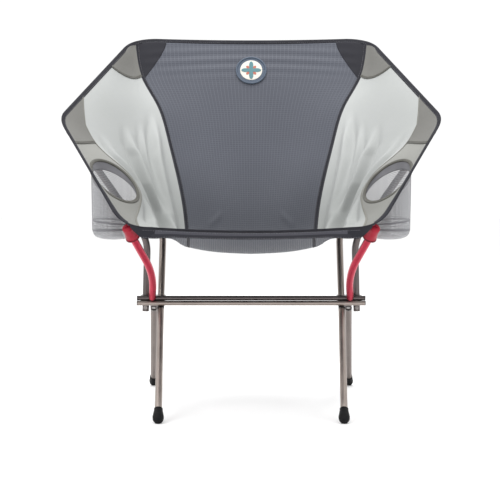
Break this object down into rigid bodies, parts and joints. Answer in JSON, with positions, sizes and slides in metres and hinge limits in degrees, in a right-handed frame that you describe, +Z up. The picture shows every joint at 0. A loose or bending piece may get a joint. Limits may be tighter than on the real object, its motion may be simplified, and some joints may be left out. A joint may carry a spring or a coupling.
{
  "type": "ultralight backpacking chair",
  "caption": "Low folding camp chair: a tensioned fabric bucket seat with arm wings and mesh cup pockets, hung on bent poles over legs that fold in under the seat.",
  "frame": {"origin": "on the floor, in the middle of the chair's outer box", "axes": "+Z up, +Y towards the chair's back, +X to the right as seen from the front"},
  "size_m": [0.6686, 0.4524, 0.6978],
  "materials": {
    "arm_cloth": "taupe mesh-like weave",
    "side_cloth": "smooth light grey technical cloth",
    "ripstop": "dark slate ripstop nylon",
    "mesh": "open polyester mesh",
    "binding_tape": "black folded binding tape",
    "hem_band": "dark grey webbing",
    "patch": "embroidered patch",
    "corner_patch": "black reinforcement cloth",
    "red_sleeve": "red coated cloth",
    "red_anodised": "red anodised, satin",
    "gunmetal_tube": "bronze-gunmetal anodised, satin",
    "dark_tube": "dark anodised, satin",
    "bare_aluminium": "bare",
    "tip_plastic": "moulded nylon",
    "hub_plastic": "glass-filled nylon",
    "knuckle_metal": "die-cast, tumbled",
    "rivet_steel": "plain steel",
    "shock_cord": "braided elastic cord",
    "shoe_rubber": "black moulded rubber"
  },
  "bodies": {
    "root": {"arm_panel_left": "arm_cloth", "arm_panel_right": "arm_cloth", "arm_pocket_left": "corner_patch", "arm_pocket_right": "corner_patch", "arm_pole_left": "dark_tube", "arm_pole_plug_left": "hub_plastic", "arm_pole_plug_right": "hub_plastic", "arm_pole_right": "dark_tube", "arm_pole_tip_left": "tip_plastic", "arm_pole_tip_right": "tip_plastic", "back_pocket_left": "corner_patch", "back_pocket_right": "corner_patch", "badge": "patch", "centre_panel": "ripstop", "crossbar_front": "gunmetal_tube", "crossbar_plugs": "tip_plastic", "crossbar_rear": "gunmetal_tube", "crossbar_rivets": "rivet_steel", "cup_pocket_left": "mesh", "cup_pocket_right": "mesh", "cup_rim_left": "binding_tape", "cup_rim_right": "binding_tape", "front_binding": "binding_tape", "front_hem": "hem_band", "front_pocket_left": "red_sleeve", "front_pocket_right": "red_sleeve", "front_pole_foot_left": "red_anodised", "front_pole_foot_right": "red_anodised", "front_pole_left": "red_anodised", "front_pole_right": "red_anodised", "hub_left": "hub_plastic", "hub_right": "hub_plastic", "leg_rivets_left": "rivet_steel", "leg_rivets_right": "rivet_steel", "side_binding_left": "binding_tape", "side_binding_right": "binding_tape", "side_panel_left": "side_cloth", "side_panel_right": "side_cloth", "top_binding": "binding_tape", "upright_cords": "shock_cord", "upright_ferrule_left": "bare_aluminium", "upright_ferrule_right": "bare_aluminium", "upright_lower_left": "gunmetal_tube", "upright_lower_right": "gunmetal_tube", "upright_tip_left": "tip_plastic", "upright_tip_right": "tip_plastic", "upright_upper_left": "gunmetal_tube", "upright_upper_right": "gunmetal_tube"},
    "leg_front_left": {"front_leg_left": "gunmetal_tube", "front_knuckle_left": "knuckle_metal", "front_shoe_left": "shoe_rubber"},
    "leg_front_right": {"front_leg_right": "gunmetal_tube", "front_knuckle_right": "knuckle_metal", "front_shoe_right": "shoe_rubber"},
    "leg_rear_left": {"rear_leg_left": "gunmetal_tube", "rear_knuckle_left": "knuckle_metal", "rear_shoe_left": "shoe_rubber"},
    "leg_rear_right": {"rear_leg_right": "gunmetal_tube", "rear_knuckle_right": "knuckle_metal", "rear_shoe_right": "shoe_rubber"}
  },
  "joints": [
    {"name": "fold_front_left", "type": "hinge", "parent": "root", "child": "leg_front_left", "pos_m": [-0.165, -0.01943, 0.1802], "axis": [-0.0627, -0.6708, 0.739], "range_deg": [0, 75]},
    {"name": "fold_front_right", "type": "hinge", "parent": "root", "child": "leg_front_right", "pos_m": [0.165, -0.01943, 0.1802], "axis": [0.0627, 0.6671, -0.7423], "range_deg": [0, 75]},
    {"name": "fold_rear_left", "type": "hinge", "parent": "root", "child": "leg_rear_left", "pos_m": [-0.1788, -0.00293, 0.18], "axis": [-0.0626, -0.6549, -0.7531], "range_deg": [0, 75]},
    {"name": "fold_rear_right", "type": "hinge", "parent": "root", "child": "leg_rear_right", "pos_m": [0.1788, -0.00293, 0.18], "axis": [0.0626, 0.6485, 0.7586], "range_deg": [0, 75]}
  ]
}
